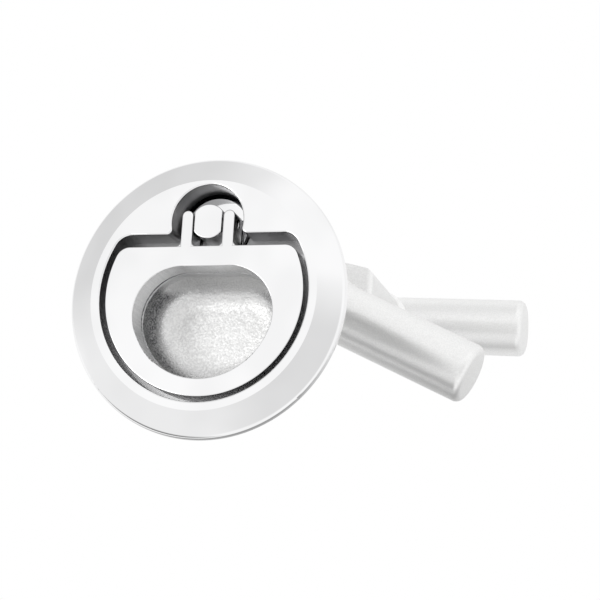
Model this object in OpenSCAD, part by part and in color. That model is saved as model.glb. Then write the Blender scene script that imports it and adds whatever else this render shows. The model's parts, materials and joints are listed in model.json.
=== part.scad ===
// Flush lift handle with a turning spindle, a straight locking arm and a cranked inside arm.
// The bezel's seat on the panel is z = 0, the face looks up, the spindle stands towards +Y.

/* [Bezel] */
// Outer diameter of the bezel
flange_d = 76; // [72:0.5:90]
// Height of the flat face above the panel
bezel_h = 5; // [4:0.1:7]
// Height at which the sloping bezel would meet its outer diameter
rim_h = 1.9; // [1.5:0.1:2.6]
// Rounding of the bezel's outer edge
rim_round = 1.6; // [0.4:0.1:2]
// Outer diameter of the flat ring round the recess
face_d = 62.2; // [60.5:0.1:66]
// Rounding of the recess's mouth
mouth_round = 0.5; // [0.2:0.1:0.8]

/* [Recess] */
// Diameter of the recess
recess_d = 57.4; // [54:0.2:59]
// Distance from the centre to the recess's straight edge
recess_flat = 16.3; // [14:0.1:18]
// Corner radius where the straight edge meets the round one
recess_corner = 5; // [3:0.1:7]
// Diameter of the round bay for the spindle
bay_d = 19.8; // [19.4:0.1:21]
// Corner radius where the bay meets the straight edge
bay_corner = 1.5; // [0.8:0.1:2.5]
// Depth of the spindle bay below the face
bay_depth = 14; // [13.4:0.1:18]
// Distance from the centre to the spindle's axis
spindle_y = 20; // [19:0.1:21]
// Gap between the handle and the ledge that it lies over
ledge_gap = 0.4; // [0.2:0.1:1]

/* [Body] */
// Outer diameter of the tray behind the bezel
tray_d = 66; // [64:0.5:68]
// Thickness of the ledge
ledge_t = 3; // [2:0.1:5]
// Depth of the finger cup below the face
cup_depth = 19.5; // [17:0.1:26]
// Rounding between the cup's wall and floor
cup_round = 8; // [3:0.1:9]
// Wall thickness of the cup
cup_wall = 3; // [2:0.1:4]
// Outer diameter of the spindle barrel
barrel_d = 24; // [22:0.1:25.5]
// Depth of the barrel's rear end below the face
barrel_depth = 44; // [38:0.5:46]
// Distance between the two fixing bosses
boss_spacing = 55; // [54:0.5:57]
// Diameter of a fixing boss
boss_d = 9.6; // [8:0.1:10]
// Length of a fixing boss below the ledge
boss_len = 8; // [5:0.5:10]
// Diameter of a tapped fixing hole
boss_hole_d = 4.2; // [3:0.1:5]
// Depth of a tapped fixing hole
boss_hole_depth = 8.5; // [5:0.5:10]
// Thickness of the ribs beside the barrel
rib_t = 3; // [2:0.1:5]
// Length of the ribs down the barrel
rib_drop = 11; // [6:0.5:16]

/* [Panel gasket] */
// Inner diameter of the gasket
gasket_id = 67.4; // [66.8:0.1:68.4]
// Radial width of the gasket
gasket_w = 2.6; // [1.5:0.1:3]
// Thickness of the gasket when tightened
gasket_t = 0.9; // [0.6:0.1:1.1]

/* [Lift handle] */
// Gap between the handle and the recess's round edge
rim_gap = 1.45; // [1:0.05:2.5]
// Gap between the handle and the recess's straight edge
hinge_gap = 3.1; // [2.4:0.1:4]
// Corner radius of the handle
handle_corner = 4; // [2.5:0.1:6]
// Thickness of the handle
plate_t = 7.2; // [6.6:0.1:7.4]
// Depth of the handle's surface below the face
plate_drop = 0.6; // [0.2:0.1:1]
// Rounding of the handle's edges
plate_round = 0.3; // [0.2:0.1:1.8]
// Width of the finger hole
hole_w = 39; // [34:0.2:42]
// Height of the finger hole
hole_h = 30.1; // [26:0.1:31]
// Corner radius of the finger hole
hole_corner = 12.7; // [10:0.1:14]
// Width of the handle below the finger hole
hole_web = 4.8; // [4:0.1:6]
// Width of a hinge ear
ear_w = 3.1; // [2.4:0.1:3.6]
// Clear width between the hinge ears
ear_gap = 8.4; // [8:0.1:9]
// Length of a hinge ear past the pin's axis
ear_past = 3; // [2.4:0.1:3.4]
// Rounding of a hinge ear's edges
ear_round = 0.4; // [0.3:0.1:1.1]
// Clearance between the hinge ears, as they turn, and the spindle's collar
ear_clearance = 0.4; // [0.2:0.1:0.8]
// Corner radius at the foot of a hinge ear
ear_foot = 1; // [0.5:0.1:1.4]

/* [Hinge pin] */
// Diameter of the hinge pin
pin_d = 3; // [2:0.1:3.5]
// Radial running clearance of the pin in the spindle
pin_clearance = 0.04; // [0.02:0.01:0.1]
// Length that the pin stays short of the ears' outer faces, both ends together
pin_short = 0.3; // [0.1:0.1:0.8]
// Chamfer at the pin's ends
pin_chamfer = 0.3; // [0.1:0.1:0.5]

/* [Spindle] */
// Diameter of the spindle's tongue between the ears
tongue_d = 9.4; // [8.6:0.1:10]
// Width across the tongue's flats
tongue_flats = 7.4; // [6.4:0.1:7.8]
// Depth of the tongue's end below the face
tongue_drop = 0.8; // [0.4:0.1:1.4]
// Rounding of the tongue's end
tongue_round = 0.3; // [0.2:0.1:1]
// Diameter of the collar in the bay
collar_d = 18.2; // [17:0.1:18.6]
// Depth of the collar's top below the face
collar_drop = 8.8; // [8.4:0.1:9.6]
// Chamfer of the collar
collar_chamfer = 0.5; // [0.2:0.1:1]
// Diameter of the shank in the barrel
shank_d = 13; // [12.6:0.1:14]
// Diameter of the seat that carries the arms
seat_d = 11; // [10.5:0.1:12]
// Diameter of the threaded end
thread_d = 10; // [9:0.1:10.2]
// Length of thread past the nut
thread_past = 2.5; // [1.5:0.5:6]
// Chamfer at the thread's end
thread_chamfer = 1; // [0.5:0.1:1.2]
// Running clearance between turning pieces, on the radius
run_clearance = 0.06; // [0.03:0.01:0.15]

/* [Bearing and seals] */
// Outer diameter of the bushes
bush_od = 17; // [16.6:0.1:18]
// Length of the front bush's sleeve
bush_len = 10; // [6:0.5:14]
// Thickness of a bush's flange
bush_flange_t = 1; // [0.8:0.1:1.4]
// Outer diameter of the rear bush's flange and of the thrust washer
thrust_od = 22; // [20:0.5:23.5]
// Thickness of the thrust washer
thrust_t = 1; // [0.6:0.1:1.5]
// Thickness of the disc spring's plate
spring_t = 0.6; // [0.4:0.1:0.8]
// Height of the disc spring as fitted
spring_h = 1.3; // [1:0.1:1.6]
// Outer diameter of the disc spring
spring_od = 20; // [18:0.5:22]
// Thickness of the retaining ring
ring_t = 1.1; // [0.8:0.1:1.4]
// Outer diameter of the retaining ring
ring_od = 18; // [17:0.5:20]
// Depth of the retaining ring's groove
ring_groove = 0.7; // [0.4:0.1:1]
// Width of the opening in the retaining ring
ring_open = 4; // [3:0.5:6]

/* [Arms] */
// Diameter of both arms
arm_d = 17.5; // [16:0.1:19]
// Reach of both arms from the spindle's axis
arm_reach = 67.5; // [60:0.5:90]
// Rounding of the arms' free ends
arm_round = 2; // [1:0.1:4]
// Diameter of the arms' hubs
hub_d = 24.4; // [21:0.1:26]
// Distance from the axis at which the straight arm's hub taper ends
taper_end = 27; // [22:0.5:34]
// Depth of the straight arm's axis below the face
straight_depth = 60.7; // [60:0.1:70]
// Angle of the straight arm from the +X direction
straight_angle = -25.4; // [-60:0.1:60]
// Angle of the cranked arm from the +X direction
cranked_angle = -2.1; // [-60:0.1:60]
// Thickness of the cranked arm's hub plate
tab_t = 12; // [9:0.1:14]
// Distance from the axis to the outer face of the crank's neck
neck_out = 28.6; // [26:0.1:34]
// Thickness of the crank's neck
neck_t = 12; // [10:0.1:13]
// Width of the crank's neck
neck_w = 13.4; // [11:0.1:15]
// Corner radius of the crank's neck
neck_corner = 3.2; // [2:0.1:5]
// Rounding of the crank's outer bend
bend_round = 1.8; // [0.6:0.1:3]
// Rounding of the crank's inner corners
crank_fillet = 6; // [3:0.1:7]
// Diameter of the flared foot with which the crank's neck stands on the bar
foot_d = 17.3; // [15:0.1:18]
// Width of the foot's flare
foot_flare = 2.75; // [2:0.05:4]
// Depth to which the foot's flare runs into the bar
foot_sink = 1.2; // [0.5:0.1:1.5]
// Distance from the hub plate's front face to the cranked arm's axis
crank_drop = 44.8; // [36:0.1:60]

/* [Fasteners] */
// Diameter of the grub screws in the hubs
grub_d = 5; // [4:0.1:5]
// Width across the flats of a grub screw's socket
grub_socket = 2.5; // [2:0.1:3]
// Depth of a grub screw's socket
grub_socket_depth = 2.2; // [1:0.1:3]
// Depth of a grub screw's head below the hub's surface
grub_sunk = 0.6; // [0.3:0.1:1.5]
// Outer diameter of the end washer
end_washer_od = 20; // [18:0.5:22]
// Thickness of the end washer
end_washer_t = 2; // [1.5:0.1:3]
// Width across the flats of the lock nut
nut_flats = 16; // [15:0.1:17]
// Diameter to which the lock nut's corners are chamfered at its end
nut_face_d = 16.6; // [15.5:0.1:17.2]
// Height of the lock nut's hexagon
nut_h = 7; // [6:0.1:9]
// Height of the lock nut's round collar
nut_collar_h = 3; // [2:0.1:4]
// Radial thickness of the ring in the lock nut
nut_ring_w = 1.6; // [1:0.1:1.8]
// Thickness of the ring in the lock nut
nut_ring_t = 2; // [1.5:0.1:2]

/* [Hidden] */
$fn = 96;
// Overlap of joined shapes and length past a face of a cutter
lap = 1;
// Share of its radius by which a corner round stands past the edges that it runs into
corner_over = 0.004;

// Places along the spindle, all measured up from the panel
face = bezel_h;
plate_top = face - plate_drop;
pin_z = plate_top - plate_t / 2;
ledge_z = plate_top - plate_t - ledge_gap;
tray_z = ledge_z - ledge_t;
bay_z = face - bay_depth;
cup_z = face - cup_depth;
collar_top = face - collar_drop;
collar_bottom = bay_z + bush_flange_t;
barrel_z = face - barrel_depth;
thrust_z = barrel_z - bush_flange_t;
spring_z = thrust_z - thrust_t;
ring_z = spring_z - spring_h;
straight_z = face - straight_depth;
shoulder_z = straight_z + arm_d / 2;
tab_z = straight_z - arm_d / 2;
seat_end_z = tab_z - tab_t;
nut_z = seat_end_z - end_washer_t;
nut_end_z = nut_z - nut_h - nut_collar_h;
nut_ring_z = nut_z - nut_h - nut_ring_t;
thread_end_z = nut_end_z - thread_past;

// Outlines that follow from the recess
recess_r = recess_d / 2;
handle_r = recess_r - rim_gap;
handle_flat = recess_flat - hinge_gap;
hole_r = hole_w / 2;
hole_y = hole_web + hole_r - handle_r;
hole_flat = hole_h - hole_r;
ear_x = (ear_gap + ear_w) / 2;
heel_r = pin_z - collar_top - ear_clearance;
bore_r = shank_d / 2 + run_clearance;
seal_d = (bush_od - shank_d) / 2 - run_clearance;
seal_pitch = seal_d + run_clearance;
seal_z = bay_z - bush_len;
seal_end_z = seal_z - 2 * seal_pitch;
groove_r = shank_d / 2 - ring_groove;
neck_in = neck_out - neck_t;
neck_x = neck_out - neck_t / 2;
bar_start = neck_x - foot_d / 2 - arm_round;

steel = [0.80, 0.81, 0.82];
blasted_steel = [0.72, 0.72, 0.71];
rubber = [0.10, 0.10, 0.11];
acetal = [0.88, 0.87, 0.83];

// Quarter of a disc in the corner between the +x and +y axes
module quarter(r) {
    intersection() {
        circle(r);
        square(r);
    }
}

// Section of a disc with rounded edges: top is the rounding above, bottom the one below
module disc_section(r, h, top, bottom) {
    translate([0, bottom]) square([r, h - top - bottom]);
    translate([0, bottom]) square([r - top, h - bottom]);
    square([r - bottom, h - top]);
    if (top > 0)
        translate([r - top, h - top]) quarter(top);
    if (bottom > 0)
        translate([r - bottom, bottom]) mirror([0, 1]) quarter(bottom);
}

// Section of a hole whose mouths at both ends are rounded outwards
module mouth_section(r, h, top, bottom) {
    square([r, h]);
    if (top > 0)
        translate([r, h - top]) difference() {
            square(top);
            translate([top, 0]) circle(top);
        }
    if (bottom > 0)
        translate([r, 0]) difference() {
            square(bottom);
            translate([bottom, bottom]) circle(bottom);
        }
}

module section(r, h, top, bottom, mouth) {
    if (mouth)
        mouth_section(r, h, top, bottom);
    else
        disc_section(r, h, top, bottom);
}

// A round shape with one straight edge and rounded corners, standing on z = 0.
// As a plate its edges are rounded, and as a cutter its mouths are rounded outwards.
module d_form(r, flat, corner, h, top = 0, bottom = 0, mouth = false) {
    corner_y = flat - corner;
    corner_x = sqrt(pow(r - corner, 2) - pow(corner_y, 2));
    far = 2 * r;
    ray = far / (r - corner) * [corner_x, corner_y];
    straight_y = min(corner_y, 0);
    difference() {
        rotate_extrude() section(r, h, top, bottom, mouth);
        translate([0, 0, -lap])
            linear_extrude(h + 2 * lap)
                polygon([[0, 0], ray, [far, 2 * far], [-far, 2 * far], [-ray[0], ray[1]]]);
    }
    for (side = [-1, 1])
        translate([side * corner_x, corner_y, 0])
            rotate_extrude() section(corner * (1 + corner_over), h, top, bottom, mouth);
    translate([-corner_x, straight_y, 0])
        rotate([90, 0, 90])
            linear_extrude(2 * corner_x) section(flat - straight_y, h, top, bottom, mouth);
}

// Rounded corner of the metal where the bay runs out of the recess's straight edge
module bay_corner_cut(h) {
    post_y = recess_flat + bay_corner;
    bay_r = bay_d / 2;
    post_x = sqrt(pow(bay_r + bay_corner, 2) - pow(post_y - spindle_y, 2));
    to_bay = [-post_x, spindle_y - post_y] * bay_r / (bay_r + bay_corner);
    for (side = [0, 1])
        mirror([side, 0, 0])
            difference() {
                linear_extrude(h)
                    polygon([[post_x, recess_flat - lap], [post_x, post_y],
                        [post_x, post_y] + to_bay * bay_corner / bay_r,
                        [0, spindle_y], [0, recess_flat - lap]]);
                translate([post_x, post_y, -lap])
                    rotate_extrude()
                        disc_section(bay_corner * (1 + corner_over), h + lap, mouth_round, 0);
            }
}

module recess_cut() {
    depth = face - ledge_z;
    translate([0, 0, ledge_z]) {
        d_form(recess_r, recess_flat, recess_corner, depth, mouth_round, 0, true);
        bay_corner_cut(depth);
    }
    translate([0, spindle_y, bay_z])
        rotate_extrude() mouth_section(bay_d / 2, bay_depth, mouth_round, 0);
}

module bezel_section() {
    slope = atan2(bezel_h - rim_h, (flange_d - face_d) / 2);
    round_x = flange_d / 2 - rim_round;
    round_z = rim_h - rim_round * (1 - sin(slope)) / cos(slope);
    polygon([[0, 0], [flange_d / 2, 0], [flange_d / 2, round_z],
        [round_x + rim_round * sin(slope), round_z + rim_round * cos(slope)],
        [face_d / 2, bezel_h], [0, bezel_h]]);
    translate([round_x, round_z]) circle(rim_round);
}

module at_spindle(z) {
    translate([0, spindle_y, z]) children();
}

module boss_places() {
    for (side = [-1, 1])
        translate([side * boss_spacing / 2, 0, tray_z - boss_len]) children();
}

// Ribs from the barrel out to the tray
module ribs() {
    rib_in = barrel_d / 2 - lap;
    rib_out = sqrt(pow(tray_d / 2, 2) - pow(spindle_y + rib_t / 2, 2)) - lap;
    translate([0, spindle_y + rib_t / 2, 0])
        rotate([90, 0, 0])
            linear_extrude(rib_t)
                polygon([[-rib_out, tray_z + lap], [rib_out, tray_z + lap], [rib_out, tray_z],
                    [rib_in, tray_z - rib_drop], [-rib_in, tray_z - rib_drop], [-rib_out, tray_z]]);
}

module housing() {
    color(steel)
    difference() {
        union() {
            intersection() {
                rotate_extrude() bezel_section();
                cylinder(d = flange_d + lap, h = bezel_h);
            }
            translate([0, 0, tray_z]) cylinder(d = tray_d, h = lap - tray_z);
            translate([0, hole_y, cup_z - cup_wall])
                d_form(hole_r + cup_wall, hole_flat + cup_wall, hole_corner + cup_wall,
                    ledge_z - cup_z + cup_wall, 0, cup_round + cup_wall);
            at_spindle(barrel_z) cylinder(d = barrel_d, h = ledge_z - barrel_z);
            boss_places() cylinder(d = boss_d, h = boss_len + lap);
            ribs();
        }
        recess_cut();
        translate([0, hole_y, cup_z])
            d_form(hole_r, hole_flat, hole_corner, ledge_z - cup_z + lap, 0, cup_round);
        at_spindle(barrel_z - lap) cylinder(d = bush_od, h = bay_z - barrel_z + 2 * lap);
        boss_places() translate([0, 0, -lap]) cylinder(d = boss_hole_d, h = boss_hole_depth + lap);
        gasket_ring();
    }
}

// Flat ring that fills the groove under the bezel
module gasket_ring() {
    difference() {
        cylinder(d = gasket_id + 2 * gasket_w, h = gasket_t);
        translate([0, 0, -lap]) cylinder(d = gasket_id, h = gasket_t + 2 * lap);
    }
}

module flange_gasket() {
    color(rubber) gasket_ring();
}

// One hinge ear: a bar with a round end, whose lower end is turned off about the pin
module ear() {
    foot_y = handle_flat - plate_round - lap;
    end_y = spindle_y + ear_past - ear_w / 2;
    back = foot_y - spindle_y - lap;
    front = ear_past + lap;
    intersection() {
        union() {
            translate([ear_x, end_y, pin_z])
                rotate([90, 0, 0])
                    linear_extrude(end_y - foot_y) rounded_box_2d(ear_w, plate_t, ear_round);
            translate([ear_x, end_y, pin_z - plate_t / 2])
                rotate_extrude()
                    disc_section(ear_w / 2 * (1 + corner_over), plate_t, ear_round, ear_round);
        }
        translate([ear_x - ear_w, spindle_y, pin_z])
            rotate([90, 0, 90])
                linear_extrude(2 * ear_w) {
                    circle(heel_r);
                    polygon([[back, -plate_t], [0, -plate_t], [0, 0], [front, 0], [front, plate_t],
                        [back, plate_t]]);
                }
    }
}

module rounded_box_2d(w, h, r) {
    square([w - 2 * r, h], center = true);
    square([w, h - 2 * r], center = true);
    for (x = [-1, 1], y = [-1, 1])
        translate([x * (w / 2 - r), y * (h / 2 - r)]) circle(r);
}

// Rounded corners beside an ear's foot
module ear_feet() {
    height = plate_t - 2 * plate_round;
    for (side = [-1, 1])
        translate([ear_x + side * ear_w / 2, handle_flat, pin_z - height / 2])
            linear_extrude(height)
                difference() {
                    translate([side > 0 ? -ear_round : -ear_foot, -ear_foot])
                        square([ear_foot + ear_round, 2 * ear_foot]);
                    translate([side * ear_foot, ear_foot]) circle(ear_foot);
                }
}

module lift_handle() {
    color(steel)
    difference() {
        union() {
            translate([0, 0, plate_top - plate_t])
                d_form(handle_r, handle_flat, handle_corner, plate_t, plate_round, plate_round);
            for (side = [0, 1])
                mirror([side, 0, 0]) {
                    ear();
                    ear_feet();
                }
        }
        translate([0, hole_y, plate_top - plate_t])
            d_form(hole_r, hole_flat, hole_corner, plate_t, plate_round, plate_round, true);
        hinge_axis() cylinder(d = pin_d, h = 2 * (ear_x + ear_w), center = true);
    }
}

module hinge_axis() {
    translate([0, spindle_y, pin_z]) rotate([0, 90, 0]) children();
}

module hinge_pin() {
    half = ear_x + (ear_w - pin_short) / 2;
    color(steel)
    hinge_axis()
        rotate_extrude()
            polygon([[0, -half], [pin_d / 2 - pin_chamfer, -half], [pin_d / 2, pin_chamfer - half],
                [pin_d / 2, half - pin_chamfer], [pin_d / 2 - pin_chamfer, half], [0, half]]);
}

module spindle() {
    tongue_h = collar_drop - tongue_drop + lap;
    color(steel)
    difference() {
        union() {
            intersection() {
                at_spindle(collar_top - lap)
                    rotate_extrude() disc_section(tongue_d / 2, tongue_h, tongue_round, 0);
                at_spindle(collar_top - 2 * lap)
                    translate([-tongue_flats / 2, -tongue_d, 0])
                        cube([tongue_flats, 2 * tongue_d, tongue_h + 2 * lap]);
            }
            at_spindle(0) rotate_extrude() spindle_section();
        }
        hinge_axis() cylinder(d = pin_d + 2 * pin_clearance, h = 2 * tongue_d, center = true);
    }
}

module spindle_section() {
    ring_low = ring_z - ring_t;
    polygon([[0, collar_top], [collar_d / 2 - collar_chamfer, collar_top],
        [collar_d / 2, collar_top - collar_chamfer], [collar_d / 2, collar_bottom],
        [shank_d / 2, collar_bottom], [shank_d / 2, ring_z], [groove_r, ring_z],
        [groove_r, ring_low], [shank_d / 2, ring_low], [shank_d / 2, shoulder_z],
        [seat_d / 2, shoulder_z], [seat_d / 2, seat_end_z], [thread_d / 2, seat_end_z],
        [thread_d / 2, thread_end_z + thread_chamfer], [thread_d / 2 - thread_chamfer, thread_end_z],
        [0, thread_end_z]]);
}

// Ring about the spindle's axis, standing on its lower face
module collar_ring(inner_r, outer_r, z, h) {
    at_spindle(z)
        difference() {
            cylinder(r = outer_r, h = h);
            translate([0, 0, -lap]) cylinder(r = inner_r, h = h + 2 * lap);
        }
}

module front_bush() {
    color(acetal) {
        at_spindle(0)
            rotate_extrude()
                polygon([[bore_r, seal_z], [bush_od / 2, seal_z], [bush_od / 2, bay_z],
                    [collar_d / 2, bay_z], [collar_d / 2, collar_bottom], [bore_r, collar_bottom]]);
    }
}

module rear_bush() {
    color(acetal)
    at_spindle(0)
        rotate_extrude()
            polygon([[bore_r, thrust_z], [thrust_od / 2, thrust_z], [thrust_od / 2, barrel_z],
                [bush_od / 2, barrel_z], [bush_od / 2, seal_end_z], [bore_r, seal_end_z]]);
}

// One of the round seal rings between the bushes, counted from the front
module shaft_seal(place) {
    seal_r = (shank_d + bush_od) / 4;
    color(rubber)
    at_spindle(seal_z - (place + 1 / 2) * seal_pitch)
        rotate_extrude() translate([seal_r, 0]) circle(d = seal_d);
}

module thrust_washer() {
    color(steel) collar_ring(bore_r, thrust_od / 2, spring_z, thrust_t);
}

module disc_spring() {
    color(steel)
    at_spindle(0)
        rotate_extrude()
            polygon([[bore_r, ring_z], [bore_r, ring_z + spring_t], [spring_od / 2, spring_z],
                [spring_od / 2, spring_z - spring_t]]);
}

module retaining_ring() {
    color(steel)
    difference() {
        collar_ring(groove_r, ring_od / 2, ring_z - ring_t, ring_t);
        at_spindle(ring_z - ring_t - lap)
            translate([-ring_open / 2, 0, 0]) cube([ring_open, ring_od, ring_t + 2 * lap]);
    }
}

// Puts an arm's own frame on the spindle: x along the arm, z = 0 on the arm's axis or front face
module arm_frame(z, angle) {
    at_spindle(z) rotate(angle) children();
}

module hub_bore(low, high) {
    translate([0, 0, low - lap]) cylinder(r = seat_d / 2 + run_clearance, h = high - low + 2 * lap);
}

// Radial hole or screw on the side of the hub that faces away from the arm
module grub_axis(z) {
    translate([0, 0, z]) rotate([0, -90, 0]) children();
}

// Round bar along x from start to the arm's reach, with rounded ends
module bar(start) {
    translate([start, 0, 0])
        rotate([0, 90, 0])
            rotate_extrude() disc_section(arm_d / 2, arm_reach - start, arm_round, arm_round);
}

module straight_arm() {
    color(blasted_steel)
    arm_frame(straight_z, straight_angle)
        difference() {
            union() {
                translate([0, 0, -arm_d / 2]) cylinder(d = hub_d, h = arm_d);
                bar(0);
                intersection() {
                    rotate([0, 90, 0]) cylinder(r1 = hub_d / 2, r2 = arm_d / 2, h = taper_end);
                    translate([0, -hub_d, -arm_d / 2]) cube([taper_end, 2 * hub_d, arm_d]);
                }
            }
            hub_bore(-arm_d / 2, arm_d / 2);
            grub_axis(0) cylinder(d = grub_d, h = hub_d);
        }
}

// Plan of the hub plate: a round hub that tapers to the neck's width
module tab_plan() {
    end_x = neck_out - neck_corner;
    end_y = neck_w / 2 - neck_corner;
    hub_r = hub_d / 2;
    normal = atan2(end_y, end_x) + acos((hub_r - neck_corner) / norm([end_x, end_y]));
    side = [cos(normal), sin(normal)];
    from = hub_r * side;
    to = [end_x, end_y] + neck_corner * side;
    circle(hub_r * (1 + corner_over));
    for (y = [-1, 1])
        translate([end_x, y * end_y]) circle(neck_corner * (1 + corner_over));
    polygon([[0, 0], from, to, [end_x, end_y], [neck_out, end_y], [neck_out, -end_y],
        [end_x, -end_y], [to[0], -to[1]], [from[0], -from[1]]]);
}

// Side view of the crank: bend, neck and the rounded corner under the hub plate
module crank_side() {
    difference() {
        union() {
            translate([neck_in, -crank_drop]) square([neck_t, crank_drop - bend_round]);
            translate([neck_in, -bend_round - lap]) square([neck_t - bend_round, bend_round + lap]);
            translate([neck_out - bend_round, -bend_round]) circle(bend_round);
            translate([neck_in - crank_fillet, -tab_t - crank_fillet])
                square([crank_fillet + lap, crank_fillet + tab_t]);
        }
        translate([neck_in - crank_fillet, -tab_t - crank_fillet]) circle(crank_fillet);
    }
}

// Flared foot of the neck, round about the neck's middle
module neck_foot() {
    flare_r = foot_d / 2 - foot_flare + crank_fillet;
    flare_z = arm_d / 2 + crank_fillet - foot_sink;
    translate([neck_x, 0, -crank_drop])
        rotate_extrude()
            difference() {
                square([foot_d / 2, flare_z]);
                translate([flare_r, flare_z]) circle(crank_fillet);
            }
}

module side_extrude(width) {
    translate([0, width / 2, 0]) rotate([90, 0, 0]) linear_extrude(width) children();
}

module cranked_arm() {
    bend_cut = neck_out - bend_round;
    color(blasted_steel)
    arm_frame(tab_z, cranked_angle)
        difference() {
            union() {
                intersection() {
                    translate([0, 0, -tab_t]) linear_extrude(tab_t) tab_plan();
                    side_extrude(2 * hub_d) {
                        translate([-hub_d, -tab_t]) square([hub_d + bend_cut, tab_t]);
                        translate([0, -tab_t]) square([neck_out, tab_t - bend_round]);
                        translate([bend_cut, -bend_round]) circle(bend_round);
                    }
                }
                intersection() {
                    side_extrude(2 * neck_w) crank_side();
                    translate([0, 0, -crank_drop])
                        linear_extrude(crank_drop) {
                            translate([neck_x, 0]) rounded_box_2d(neck_t, neck_w, neck_corner);
                            translate([neck_in - crank_fillet, -neck_w / 2])
                                square([crank_fillet + neck_corner, neck_w]);
                        }
                }
                neck_foot();
                translate([0, 0, -crank_drop]) bar(bar_start);
            }
            hub_bore(-tab_t, 0);
            grub_axis(-tab_t / 2) cylinder(d = grub_d, h = hub_d);
        }
}

// Grub screw whose point bears on the spindle and whose head lies below the hub's surface
module grub_screw() {
    head = hub_d / 2 - grub_sunk;
    difference() {
        translate([0, 0, seat_d / 2]) cylinder(d = grub_d, h = head - seat_d / 2);
        translate([0, 0, head - grub_socket_depth])
            cylinder(d = grub_socket / cos(30), h = grub_socket_depth + lap, $fn = 6);
    }
}

module straight_arm_screw() {
    color(steel)
    arm_frame(straight_z, straight_angle) grub_axis(0) grub_screw();
}

module cranked_arm_screw() {
    color(steel)
    arm_frame(tab_z, cranked_angle) grub_axis(-tab_t / 2) grub_screw();
}

module end_washer() {
    color(steel) collar_ring(thread_d / 2 + run_clearance, end_washer_od / 2, nut_z, end_washer_t);
}

module lock_nut() {
    collar_r = thread_d / 2 + nut_ring_w + lap;
    color(steel)
    difference() {
        union() {
            intersection() {
                at_spindle(nut_z - nut_h) cylinder(d = nut_flats / cos(30), h = nut_h, $fn = 6);
                at_spindle(nut_z - nut_h)
                    cylinder(r1 = nut_face_d / 2, r2 = nut_face_d / 2 + nut_h, h = nut_h);
            }
            at_spindle(nut_end_z) cylinder(r = collar_r, h = nut_collar_h + lap);
        }
        at_spindle(nut_end_z - lap)
            cylinder(r = thread_d / 2 + run_clearance, h = nut_h + nut_collar_h + 2 * lap);
        at_spindle(nut_ring_z) cylinder(r = thread_d / 2 + nut_ring_w, h = nut_ring_t);
    }
}

module nut_ring() {
    color(acetal)
        collar_ring(thread_d / 2 + run_clearance, thread_d / 2 + nut_ring_w, nut_ring_z, nut_ring_t);
}

housing();
flange_gasket();
lift_handle();
hinge_pin();
spindle();
front_bush();
shaft_seal(0);  // front_seal
shaft_seal(1);  // rear_seal
rear_bush();
thrust_washer();
disc_spring();
retaining_ring();
straight_arm();
cranked_arm();
straight_arm_screw();
cranked_arm_screw();
end_washer();
lock_nut();
nut_ring();
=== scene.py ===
import json
import math

import bmesh
import bpy
from mathutils import Euler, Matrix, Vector


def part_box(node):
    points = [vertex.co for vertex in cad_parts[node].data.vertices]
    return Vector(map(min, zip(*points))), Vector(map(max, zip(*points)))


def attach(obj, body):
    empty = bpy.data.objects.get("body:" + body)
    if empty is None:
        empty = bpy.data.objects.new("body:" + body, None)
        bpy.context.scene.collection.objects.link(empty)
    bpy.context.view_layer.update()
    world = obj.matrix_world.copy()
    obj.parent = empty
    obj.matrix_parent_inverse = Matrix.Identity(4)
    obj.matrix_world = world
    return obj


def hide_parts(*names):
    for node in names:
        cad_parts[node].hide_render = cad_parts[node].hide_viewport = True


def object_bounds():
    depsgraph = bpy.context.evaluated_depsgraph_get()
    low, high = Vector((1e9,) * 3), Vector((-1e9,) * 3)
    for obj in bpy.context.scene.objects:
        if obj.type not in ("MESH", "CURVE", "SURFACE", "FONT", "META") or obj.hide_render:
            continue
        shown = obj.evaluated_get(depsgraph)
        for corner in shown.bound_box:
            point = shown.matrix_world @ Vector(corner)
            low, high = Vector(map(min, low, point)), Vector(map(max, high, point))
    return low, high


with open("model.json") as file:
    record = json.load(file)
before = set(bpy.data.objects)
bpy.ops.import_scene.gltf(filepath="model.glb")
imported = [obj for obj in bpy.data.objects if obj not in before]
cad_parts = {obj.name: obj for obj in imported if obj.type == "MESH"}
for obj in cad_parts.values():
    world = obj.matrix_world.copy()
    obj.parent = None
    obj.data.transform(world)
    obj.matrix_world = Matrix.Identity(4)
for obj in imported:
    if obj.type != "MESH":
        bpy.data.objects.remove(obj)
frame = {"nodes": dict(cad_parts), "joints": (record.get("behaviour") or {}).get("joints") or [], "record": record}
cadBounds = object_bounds()
nodes = frame["nodes"]
bodyOf = {name: body for body, names in frame["record"]["behaviour"]["bodies"].items() for name in names}
slotOf = {part["node"]: part["material_slot"] for part in frame["record"]["subparts"]}
spindleY = frame["joints"][0]["pos_m"][1]  # the hinge pin crosses the spindle's axis
print("frame loaded:", len(nodes), "solids")

# The shared effects are node groups, and every finish below places them with its own values
groupSockets = {"value": "NodeSocketFloat", "vector": "NodeSocketVector"}
white = (1, 1, 1, 1)
origin = (0.0, 0.0, 0.0)
flatten = (1.0, 1.0, 0.0)


def newGroup(name, inputs, outputs):
    group = bpy.data.node_groups.new(name, "ShaderNodeTree")
    for label, kind, default in inputs:
        socket = group.interface.new_socket(label, in_out="INPUT", socket_type=groupSockets[kind])
        if default is not None:
            socket.default_value = default
    for label, kind in outputs:
        group.interface.new_socket(label, in_out="OUTPUT", socket_type=groupSockets[kind])
    return group, group.nodes.new("NodeGroupInput").outputs, group.nodes.new("NodeGroupOutput").inputs


def node(tree, kind, links=None, **settings):
    made = tree.nodes.new(kind)
    for key, value in settings.items():
        setattr(made, key, value)
    for key, value in (links or {}).items():
        if isinstance(value, bpy.types.NodeSocket):
            tree.links.new(value, made.inputs[key])
        else:
            made.inputs[key].default_value = value
    return made


def math2(tree, operation, a, b):
    return node(tree, "ShaderNodeMath", {0: a, 1: b}, operation=operation).outputs[0]


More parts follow.
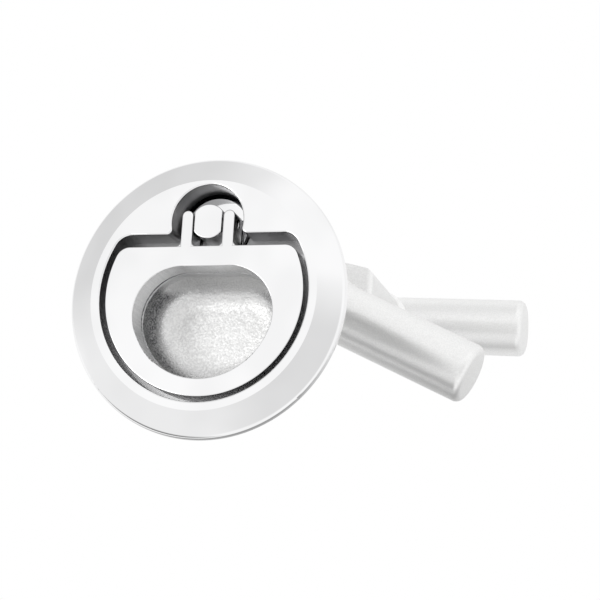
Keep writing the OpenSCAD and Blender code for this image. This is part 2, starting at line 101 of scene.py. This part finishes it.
def times(tree, a, b):
    return math2(tree, "MULTIPLY", a, b)


def larger(tree, a, b):
    return math2(tree, "MAXIMUM", a, b)


def without(tree, mask):
    return math2(tree, "SUBTRACT", 1.0, mask)


def scaled(tree, place, factors):
    return node(tree, "ShaderNodeVectorMath", {0: place, 1: factors}, operation="MULTIPLY").outputs[0]


def planDistance(tree, place, point):
    flat = scaled(tree, place, flatten)
    return node(tree, "ShaderNodeVectorMath", {0: flat, 1: point}, operation="DISTANCE").outputs["Value"]


def ramp(tree, value, low, high, start=0.0, end=1.0):
    links = {"Value": value, "From Min": low, "From Max": high, "To Min": start, "To Max": end}
    return node(tree, "ShaderNodeMapRange", links, interpolation_type="SMOOTHSTEP").outputs["Result"]


grainShape = {"perMetre": 2600.0, "detail": 3.0, "fineness": 0.62, "pitScale": 0.38, "pitShare": 0.55,
              "speckle": (0.36, 0.66)}


def blastGrainGroup():
    # Fine pits of bead blasting, on two scales, as a height and as a speckle mask
    inputs = [("Place", "vector", None), ("Grain per metre", "value", grainShape["perMetre"])]
    group, given, out = newGroup("blastGrain", inputs, [("Height", "value"), ("Speckle", "value")])
    fine = node(group, "ShaderNodeTexNoise", {
        "Vector": given["Place"], "Scale": given["Grain per metre"], "Detail": grainShape["detail"],
        "Roughness": grainShape["fineness"]}).outputs["Fac"]
    pits = node(group, "ShaderNodeTexVoronoi", {
        "Vector": given["Place"], "Scale": times(group, given["Grain per metre"], grainShape["pitScale"])},
        feature="SMOOTH_F1").outputs["Distance"]
    height = math2(group, "ADD", fine, times(group, pits, grainShape["pitShare"]))
    group.links.new(height, out["Height"])
    group.links.new(ramp(group, fine, *grainShape["speckle"]), out["Speckle"])
    return group


buffShape = {"perMetre": 900.0, "stretch": (1.0, 0.04, 1.0), "hairDetail": 2.0, "hairFineness": 0.5,
             "hairShare": 0.06, "wavesPerMetre": 70.0, "waveDetail": 1.0, "waveShare": 0.5,
             "haze": (0.35, 0.75)}


def polishGroup():
    # Slow waves and hairlines that a buffing wheel leaves, as a height and as a haze mask
    inputs = [("Place", "vector", None), ("Hairlines per metre", "value", buffShape["perMetre"])]
    group, given, out = newGroup("buffedPolish", inputs, [("Height", "value"), ("Haze", "value")])
    hair = node(group, "ShaderNodeTexNoise", {
        "Vector": scaled(group, given["Place"], buffShape["stretch"]), "Scale": given["Hairlines per metre"],
        "Detail": buffShape["hairDetail"], "Roughness": buffShape["hairFineness"]}).outputs["Fac"]
    waves = node(group, "ShaderNodeTexNoise", {
        "Vector": given["Place"], "Scale": buffShape["wavesPerMetre"],
        "Detail": buffShape["waveDetail"]}).outputs["Fac"]
    height = math2(group, "ADD", times(group, hair, buffShape["hairShare"]),
                   times(group, waves, buffShape["waveShare"]))
    group.links.new(height, out["Height"])
    group.links.new(ramp(group, waves, *buffShape["haze"]), out["Haze"])
    return group


ringShape = {"perMetre": 1500.0, "scale": 1.0, "detail": 2.0, "contrast": (0.3, 0.7)}


def turningGroup():
    # Rings that a lathe tool leaves about the axis of a turned piece
    inputs = [("Place", "vector", None), ("Rings per metre", "value", ringShape["perMetre"])]
    group, given, out = newGroup("turningRings", inputs, [("Height", "value"), ("Ring", "value")])
    height = node(group, "ShaderNodeSeparateXYZ", {0: given["Place"]}).outputs[2]
    along = math2(group, "ADD", planDistance(group, given["Place"], origin), height)
    lines = node(group, "ShaderNodeTexNoise", {
        "W": times(group, along, given["Rings per metre"]), "Scale": ringShape["scale"],
        "Detail": ringShape["detail"]}, noise_dimensions="1D").outputs["Fac"]
    group.links.new(lines, out["Height"])
    group.links.new(ramp(group, lines, *ringShape["contrast"]), out["Ring"])
    return group


blastGrain = blastGrainGroup()
buffedPolish = polishGroup()
turningRings = turningGroup()


def newFinish(name):
    finish = bpy.data.materials.new(name)
    finish.use_nodes = True
    tree = finish.node_tree
    shader = tree.nodes["Principled BSDF"]
    place = tree.nodes.new("ShaderNodeTexCoord").outputs["Object"]
    return finish, tree, shader, place


def useGroup(tree, group, place, settings=None):
    placed = tree.nodes.new("ShaderNodeGroup")
    placed.node_tree = group
    tree.links.new(place, placed.inputs["Place"])
    for label, value in (settings or {}).items():
        placed.inputs[label].default_value = value
    return placed.outputs


def bumpInto(tree, shader, height, depth):
    bump = node(tree, "ShaderNodeBump", {"Height": height, "Distance": depth, "Strength": 1.0})
    tree.links.new(bump.outputs["Normal"], shader.inputs["Normal"])


def mixColor(tree, factor, first, second):
    mix = node(tree, "ShaderNodeMix", data_type="RGBA")
    tree.links.new(factor, mix.inputs["Factor"])
    for key, value in (("A", first), ("B", second)):
        socket = next(s for s in mix.inputs if s.name == key and s.type == "RGBA")
        if isinstance(value, bpy.types.NodeSocket):
            tree.links.new(value, socket)
        else:
            socket.default_value = value
    return next(s for s in mix.outputs if s.type == "RGBA")


# Finishes that are alike all over: an effect's mask leads from the first tone and roughness to the second
polish = {"effect": buffedPolish, "mask": "Haze", "metallic": 1.0, "rough": (0.035, 0.075),
          "relief": 0.00002, "tones": ((0.93, 0.93, 0.935, 1), (0.88, 0.88, 0.885, 1))}
bright = {"effect": buffedPolish, "mask": "Haze", "metallic": 1.0, "rough": (0.16, 0.26), "relief": 0.00003,
          "tones": ((0.70, 0.70, 0.71, 1), (0.58, 0.58, 0.59, 1))}
satin = {"effect": blastGrain, "mask": "Speckle", "metallic": 1.0, "rough": (0.41, 0.31), "relief": 0.00003,
         "tones": ((0.90, 0.90, 0.895, 1), (0.97, 0.97, 0.965, 1))}
turned = {"effect": turningRings, "mask": "Ring", "metallic": 1.0, "rough": (0.32, 0.20), "relief": 0.00002,
          "tones": ((0.62, 0.62, 0.63, 1), (0.78, 0.78, 0.79, 1)), "shift": (0.0, -spindleY, 0.0)}
rubber = {"effect": blastGrain, "mask": "Speckle", "metallic": 0.0, "rough": (0.55, 0.72), "relief": 0.00004,
          "tones": ((0.012, 0.012, 0.013, 1), (0.035, 0.035, 0.036, 1)),
          "settings": {"Grain per metre": 1500.0}}
acetal = {"effect": turningRings, "mask": "Ring", "metallic": 0.0, "rough": (0.46, 0.36), "relief": 0.00002,
          "tones": ((0.76, 0.75, 0.71, 1), (0.84, 0.83, 0.79, 1)), "shift": (0.0, -spindleY, 0.0),
          "settings": {"Rings per metre": 900.0}}


def evenFinish(name, values):
    finish, tree, shader, place = newFinish(name)
    if "shift" in values:  # lathe rings run about the spindle's axis
        place = node(tree, "ShaderNodeMapping", {"Vector": place, "Location": values["shift"]}).outputs[0]
    marks = useGroup(tree, values["effect"], place, values.get("settings"))
    mask = marks[values["mask"]]
    tree.links.new(mixColor(tree, mask, *values["tones"]), shader.inputs["Base Color"])
    tree.links.new(ramp(tree, mask, 0, 1, *values["rough"]), shader.inputs["Roughness"])
    bumpInto(tree, shader, marks["Height"], values["relief"])
    shader.inputs["Metallic"].default_value = values["metallic"]
    return finish


# The faces of the handle and the spindle are buffed: walls in a band of heights stay as ground on the handle, and
# on the spindle are painted dark as shade between the ears and in the bay
groundAndShadedWalls = {"lift_handle": {"band": (-0.01, 0.00405), "fade": 0.0003, "rough": 0.26,
                          "tones": ((0.80, 0.80, 0.805, 1), (0.88, 0.88, 0.885, 1)),
                          # the outer wall's dark tone is painted shade in the gap to the recess
                          "outerShade": {"centre": (0.0, -0.00295, 0.0), "reach": (0.0205, 0.0225),
                                  "foot": (-0.0026, -0.0023), "tone": (0.20, 0.20, 0.205, 1)}},
          # the spindle's band walls are painted dark as shade between the ears and in the bay
          "spindle": {"band": (-0.0036, 0.0038), "fade": 0.0002, "rough": 0.36,
                      "tones": ((0.22, 0.22, 0.225, 1), (0.34, 0.34, 0.345, 1)),
                      "shank": {"top": -0.0085, "tone": (0.60, 0.60, 0.61, 1), "rough": 0.24}}}
strokes = {"stretch": (1.0, 1.0, 0.03), "perMetre": 1400.0, "detail": 2.0, "contrast": (0.32, 0.68)}


def topBuffedSteel(name, values):
    finish, tree, shader, place = newFinish(name)
    buffed = useGroup(tree, buffedPolish, place)
    lines = node(tree, "ShaderNodeTexNoise", {
        "Vector": scaled(tree, place, strokes["stretch"]), "Scale": strokes["perMetre"],
        "Detail": strokes["detail"]}).outputs["Fac"]
    height = node(tree, "ShaderNodeSeparateXYZ", {0: place}).outputs[2]
    low, high = values["band"]
    side = times(tree, ramp(tree, height, high + values["fade"], high),
                 ramp(tree, height, low - values["fade"], low))
    face = mixColor(tree, buffed["Haze"], *polish["tones"])
    smooth = ramp(tree, buffed["Haze"], 0, 1, *polish["rough"])
    # on the spindle this wall tone is painted shade; on the handle it is the ground finish
    wall = mixColor(tree, ramp(tree, lines, *strokes["contrast"]), *values["tones"])
    if "shank" in values:  # below the collar the spindle is only turned
        shank = values["shank"]
        below = ramp(tree, height, shank["top"] + values["fade"], shank["top"])
        face = mixColor(tree, below, face, shank["tone"])
        smooth = larger(tree, smooth, times(tree, below, shank["rough"]))
    if "outerShade" in values:  # the wall round the outside is painted dark as shade in the gap to the recess
        outerShade = values["outerShade"]
        shadedOutside = times(tree, ramp(tree, planDistance(tree, place, outerShade["centre"]), *outerShade["reach"]),
                        ramp(tree, height, *outerShade["foot"]))
        wall = mixColor(tree, shadedOutside, wall, outerShade["tone"])
    tree.links.new(mixColor(tree, side, face, wall), shader.inputs["Base Color"])
    tree.links.new(larger(tree, smooth, times(tree, side, values["rough"])), shader.inputs["Roughness"])
    relief = math2(tree, "ADD", buffed["Height"], times(tree, side, lines))
    bumpInto(tree, shader, relief, polish["relief"])
    shader.inputs["Metallic"].default_value = polish["metallic"]
    return finish


# Where the casting's finish and its painted shade change: each pair starts and ends a fade along a height or a
# distance
casting = {"recess": (0.0049, 0.0044), "ledge": (-0.0031, -0.0027), "blasted": (-0.0039, -0.0042),
           "panelSide": (0.0315, 0.0305), "rear": (0.0, -0.0001), "rearRim": (0.0328, 0.0329),
           "cupCentre": (0.0, -0.00295, 0.0), "cupRim": (0.0218, 0.0212), "cupTop": (0.0116, 0.0110),
           "sideWall": (-0.0144, -0.0098), "upper": (0.0030, 0.0060), "upperWall": (-0.0082, -0.0052),
           "bayCentre": (0.0, spindleY, 0.0), "bayRim": (0.0104, 0.0102), "hingeStrip": (0.0115, 0.0130)}
# the recess, sideWall and bay tones are painted shade: dark tones where the recess, the cup's sides and the deep
# bay fall in shade
castTones = {"blasted": ((0.80, 0.80, 0.795, 1), (0.92, 0.92, 0.915, 1)), "blastedRough": (0.44, 0.32),
             "sideWall": ((0.10, 0.10, 0.105, 1), (0.50, 0.50, 0.505, 1)),
             "upperWall": (0.80, 0.80, 0.805, 1),
             "recess": (0.40, 0.40, 0.405, 1), "recessRough": 0.34, "bay": (0.06, 0.06, 0.065, 1),
             "pit": 0.00012, "waveShare": 0.2, "settings": {"Grain per metre": 1900.0}}


def castHousing():
    # Mirror bezel, recess walls painted darker as shade and left rougher, cup sides painted dark as shade over
    # coarse grain, bay painted nearly black as shade, blasted cup and rear, told apart by place
    finish, tree, shader, place = newFinish("castHousing")
    buffed = useGroup(tree, buffedPolish, place)
    grain = useGroup(tree, blastGrain, place, castTones["settings"])
    split = node(tree, "ShaderNodeSeparateXYZ", {0: place}).outputs
    across, height = split[1], split[2]
    radius = planDistance(tree, place, origin)

    def fade(value, key):
        return ramp(tree, value, *casting[key])

    fromCup = planDistance(tree, place, casting["cupCentre"])
    cup = times(tree, fade(fromCup, "cupRim"), fade(across, "cupTop"))
    bay = fade(planDistance(tree, place, casting["bayCentre"]), "bayRim")
    below = fade(height, "blasted")
    # painted shade in the deep bay, kept out of the blasted finish
    paintedBayShade = times(tree, bay, below)
    below = math2(tree, "SUBTRACT", below, paintedBayShade)
    upper = fade(across, "upper")  # the cup's wall by the hinge is smooth and pale, its sides are coarse and painted dark as shade
    sideWall = times(tree, without(tree, upper), fade(height, "sideWall"))
    upperWall = times(tree, upper, fade(height, "upperWall"))
    cupWall = times(tree, cup, math2(tree, "ADD", sideWall, upperWall))
    recess = times(tree, times(tree, fade(radius, "panelSide"), fade(height, "recess")), without(tree, cup))
    unpolishedAndShaded = larger(tree, recess, times(tree, cupWall, below))
    rear = times(tree, fade(height, "rear"), fade(radius, "rearRim"))
    blasted = larger(tree, times(tree, below, without(tree, cupWall)), rear)
    kept = without(tree, blasted)

    # painted shade: the recess walls, the cup's wall band and the ledge in the cup and the hinge gap are darkened
    # to the recess and cup tones
    shadedStrip = larger(tree, cup, fade(across, "hingeStrip"))
    dim = times(tree, unpolishedAndShaded, larger(tree, shadedStrip, fade(height, "ledge")))
    # painted shade: the cup's sides take a dark tone where they fall in shade, with real grain speckle in it
    coarseAndShaded = mixColor(tree, grain["Speckle"], *castTones["sideWall"])
    cupTone = mixColor(tree, upper, coarseAndShaded, castTones["upperWall"])
    mirror = mixColor(tree, buffed["Haze"], *polish["tones"])
    walls = mixColor(tree, dim, mirror, mixColor(tree, cup, castTones["recess"], cupTone))
    # painted shade: the deep bay round the spindle is painted nearly black
    walls = mixColor(tree, paintedBayShade, walls, castTones["bay"])
    matt = mixColor(tree, grain["Speckle"], *castTones["blasted"])
    tree.links.new(mixColor(tree, blasted, walls, matt), shader.inputs["Base Color"])

    wallRough = larger(tree, ramp(tree, buffed["Haze"], 0, 1, *polish["rough"]),
                       times(tree, unpolishedAndShaded, castTones["recessRough"]))
    mattRough = ramp(tree, grain["Speckle"], 0, 1, *castTones["blastedRough"])
    rough = math2(tree, "ADD", times(tree, kept, wallRough), times(tree, blasted, mattRough))
    tree.links.new(rough, shader.inputs["Roughness"])

    waves = times(tree, kept, times(tree, buffed["Height"], castTones["waveShare"]))
    pits = times(tree, larger(tree, blasted, times(tree, cup, sideWall)), grain["Height"])
    bumpInto(tree, shader, math2(tree, "ADD", waves, pits), castTones["pit"])
    shader.inputs["Metallic"].default_value = polish["metallic"]
    return finish


finishes = {"polished_steel": evenFinish("polishedSteel", polish),
            "blasted_steel": evenFinish("satinSteel", satin),
            "plain_steel": evenFinish("turnedSteel", turned),
            "rubber": evenFinish("blackRubber", rubber),
            "acetal": evenFinish("whiteAcetal", acetal)}
finishOf = {name: finishes[slotOf[name]] for name in nodes}
finishOf["housing"] = castHousing()
brightSteel = evenFinish("brightSteel", bright)
for name in ("lock_nut", "straight_arm_screw", "cranked_arm_screw"):
    finishOf[name] = brightSteel
finishOf["lift_handle"] = topBuffedSteel("handleSteel", groundAndShadedWalls["lift_handle"])
finishOf["spindle"] = topBuffedSteel("spindleSteel", groundAndShadedWalls["spindle"])
print("finishes made:", len(set(finishOf.values())))


# Each solid gets a welded copy with smooth normals, so that polished faces mirror cleanly
skin = {"weld": 0.0000004, "crease": math.radians(20)}


def smoothSkin(name):
    mesh = bpy.data.meshes.new(name + "Skin")
    work = bmesh.new()
    work.from_mesh(nodes[name].data)
    bmesh.ops.remove_doubles(work, verts=work.verts, dist=skin["weld"])
    bmesh.ops.dissolve_degenerate(work, edges=work.edges, dist=skin["weld"])
    for face in work.faces:
        face.smooth = True
    for edge in work.edges:
        edge.smooth = len(edge.link_faces) == 2 and edge.calc_face_angle(math.pi) < skin["crease"]
    work.to_mesh(mesh)
    work.free()
    piece = bpy.data.objects.new(name + "Skin", mesh)
    bpy.context.scene.collection.objects.link(piece)
    weighted = piece.modifiers.new("faceNormals", "WEIGHTED_NORMAL")
    weighted.mode = "FACE_AREA"
    weighted.keep_sharp = True
    mesh.materials.append(finishOf[name])
    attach(piece, bodyOf[name])
    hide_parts(name)


for name in sorted(nodes):
    smoothSkin(name)
print("skins made:", len(nodes))


# The thread that shows past the nut, wound on the spindle's end by Geometry Nodes
thread = {"pitch": 0.0015, "radius": 0.00485, "tipRadius": 0.00455, "ridge": 0.00038, "tipGap": 0.00045,
          "steps": 72, "ridgeSides": 4}


def threadTree():
    tree = bpy.data.node_groups.new("threadWinding", "GeometryNodeTree")
    for label, kind in (("Turns", "Float"), ("Length", "Float"), ("Tip radius", "Float"),
                        ("Radius", "Float"), ("Ridge", "Float"), ("Start", "Vector"), ("Finish", "Material")):
        tree.interface.new_socket(label, in_out="INPUT", socket_type="NodeSocket" + kind)
    tree.interface.new_socket("Geometry", in_out="OUTPUT", socket_type="NodeSocketGeometry")
    given = tree.nodes.new("NodeGroupInput").outputs
    helix = node(tree, "GeometryNodeCurveSpiral", {
        "Resolution": thread["steps"], "Rotations": given["Turns"], "Start Radius": given["Tip radius"],
        "End Radius": given["Radius"], "Height": given["Length"]})
    level = node(tree, "GeometryNodeSetCurveNormal", {"Curve": helix.outputs[0]}, mode="Z_UP")
    profile = node(tree, "GeometryNodeCurvePrimitiveCircle", {
        "Resolution": thread["ridgeSides"], "Radius": given["Ridge"]})
    wound = node(tree, "GeometryNodeCurveToMesh", {
        "Curve": level.outputs[0], "Profile Curve": profile.outputs[0], "Fill Caps": True})
    placed = node(tree, "GeometryNodeTransform", {
        "Geometry": wound.outputs[0], "Translation": given["Start"]})
    plain = node(tree, "GeometryNodeRealizeInstances", {"Geometry": placed.outputs[0]})
    dressed = node(tree, "GeometryNodeSetMaterial", {
        "Geometry": plain.outputs[0], "Material": given["Finish"]})
    tree.links.new(dressed.outputs[0], tree.nodes.new("NodeGroupOutput").inputs[0])
    return tree


def windThread():
    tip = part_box("spindle")[0][2] + thread["tipGap"]
    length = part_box("lock_nut")[0][2] - thread["ridge"] - tip
    values = {"Turns": length / thread["pitch"], "Length": length, "Tip radius": thread["tipRadius"],
              "Radius": thread["radius"], "Ridge": thread["ridge"], "Start": (0.0, spindleY, tip),
              "Finish": finishes["plain_steel"]}
    tree = threadTree()
    piece = bpy.data.objects.new("spindleThread", bpy.data.meshes.new("threadSeed"))
    bpy.context.scene.collection.objects.link(piece)
    winding = piece.modifiers.new("winding", "NODES")
    winding.node_group = tree
    for item in tree.interface.items_tree:
        if item.in_out == "INPUT":
            winding[item.identifier] = values[item.name]
    made = bpy.data.meshes.new_from_object(piece.evaluated_get(bpy.context.evaluated_depsgraph_get()))
    piece.modifiers.remove(winding)
    piece.data = made
    work = bmesh.new()
    work.from_mesh(made)
    bmesh.ops.recalc_face_normals(work, faces=work.faces)
    work.to_mesh(made)
    work.free()
    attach(piece, bodyOf["spindle"])
    print("thread wound:", len(made.polygons), "faces")


windThread()


# The set: a pale floor under the part, a white room that metal mirrors, and one soft lamp
room = {"floorSize": 6.0, "floorGap": 0.002, "floorColor": (0.9, 0.9, 0.9, 1),
        "light": 1.03, "diffuse": 0.55,
        "shade": {"centre": (0.02, -0.25, 0.0), "reach": (0.13, 0.30), "tone": (0.36, 0.97)},
        "zones": {"rearLeft": {"toward": (-0.66, 0.70, 0.28), "width": (0.60, 0.97), "tone": 0.72},
                  "viewer": {"toward": (0.40, -0.28, 0.87), "width": (0.74, 0.98), "tone": 0.76},
                  "front": {"toward": (-0.62, -0.78, -0.05), "width": (0.78, 0.96), "tone": 0.26},
                  "lowerLeft": {"toward": (-0.60, -0.44, 0.65), "width": (0.72, 0.95), "tone": 0.87}}}


def seenDirectly(tree):
    path = tree.nodes.new("ShaderNodeLightPath").outputs
    return path, larger(tree, path["Is Camera Ray"], path["Is Transmission Ray"])


def paleFloor():
    # Plain white to the eye, with a painted shadow: darker in one place where the metal mirrors it
    finish = bpy.data.materials.new("paleFloor")
    finish.use_nodes = True
    tree = finish.node_tree
    tree.nodes.remove(tree.nodes["Principled BSDF"])
    path, direct = seenDirectly(tree)
    shown = larger(tree, direct, path["Is Glossy Ray"])
    matt = node(tree, "ShaderNodeBsdfDiffuse", {"Color": room["floorColor"]})
    place = tree.nodes.new("ShaderNodeTexCoord").outputs["Object"]
    # painted shadow: the floor is darker round the shade centre, for glossy rays only
    away = planDistance(tree, place, room["shade"]["centre"])
    tone = ramp(tree, away, *room["shade"]["reach"], *room["shade"]["tone"])
    mirrored = times(tree, path["Is Glossy Ray"], without(tree, tone))
    glow = node(tree, "ShaderNodeEmission", {"Color": white, "Strength": without(tree, mirrored)})
    mix = node(tree, "ShaderNodeMixShader", {0: shown, 1: matt.outputs[0], 2: glow.outputs[0]})
    tree.links.new(mix.outputs[0], tree.nodes["Material Output"].inputs["Surface"])
    return finish


def makeFloor():
    low = cadBounds[0][2] - room["floorGap"]
    half = room["floorSize"] / 2
    mesh = bpy.data.meshes.new("floor")
    corners = [(-half, -half, low), (half, -half, low), (half, half, low), (-half, half, low)]
    mesh.from_pydata(corners, [], [(0, 1, 2, 3)])
    floor = bpy.data.objects.new("floor", mesh)
    floor.data.materials.append(paleFloor())
    bpy.context.scene.collection.objects.link(floor)


def makeRoom():
    world = bpy.data.worlds.new("whiteRoom")
    bpy.context.scene.world = world
    world.use_nodes = True
    tree = world.node_tree
    path, direct = seenDirectly(tree)
    toward = tree.nodes.new("ShaderNodeTexCoord").outputs["Generated"]
    tone = room["light"]
    for zone in room["zones"].values():
        facing = Vector(zone["toward"]).normalized()
        near = node(tree, "ShaderNodeVectorMath", {0: toward, 1: tuple(facing)}, operation="DOT_PRODUCT")
        dim = ramp(tree, near.outputs["Value"], *zone["width"], 1.0, zone["tone"])
        tone = times(tree, dim, tone)
    glossy = times(tree, path["Is Glossy Ray"], tone)
    soft = times(tree, path["Is Diffuse Ray"], room["diffuse"])
    strength = math2(tree, "ADD", math2(tree, "ADD", direct, glossy), soft)
    back = tree.nodes["Background"]
    tree.links.new(strength, back.inputs["Strength"])
    back.inputs["Color"].default_value = white


lamps = {"keyLamp": {"at": (-0.54, -0.06, 0.84), "size": 0.38, "watts": 1.0}}


def makeLamps():
    for name, lamp in lamps.items():
        data = bpy.data.lights.new(name, "AREA")
        data.size = lamp["size"]
        data.energy = lamp["watts"]
        light = bpy.data.objects.new(name, data)
        light.location = lamp["at"]
        light.rotation_euler = Vector(lamp["at"]).to_track_quat("Z", "Y").to_euler()
        bpy.context.scene.collection.objects.link(light)


# The viewpoint of the photograph, fitted to the bezel and the handle
view = {"at": (0.15086, -0.11370, 0.43620), "turn": (14.885, 15.223, 3.376), "lens": 108.0, "sensor": 36.0,
        "nearest": 0.01}


def makeCamera():
    data = bpy.data.cameras.new("camera")
    data.lens = view["lens"]
    data.sensor_fit = "HORIZONTAL"
    data.sensor_width = view["sensor"]
    data.clip_start = view["nearest"]
    camera = bpy.data.objects.new("camera", data)
    camera.location = view["at"]
    camera.rotation_euler = Euler([math.radians(angle) for angle in view["turn"]], "XYZ")
    bpy.context.scene.collection.objects.link(camera)
    bpy.context.scene.camera = camera


makeFloor()
makeRoom()
makeLamps()
makeCamera()
bpy.context.scene.view_settings.view_transform = "Standard"
print("set made")
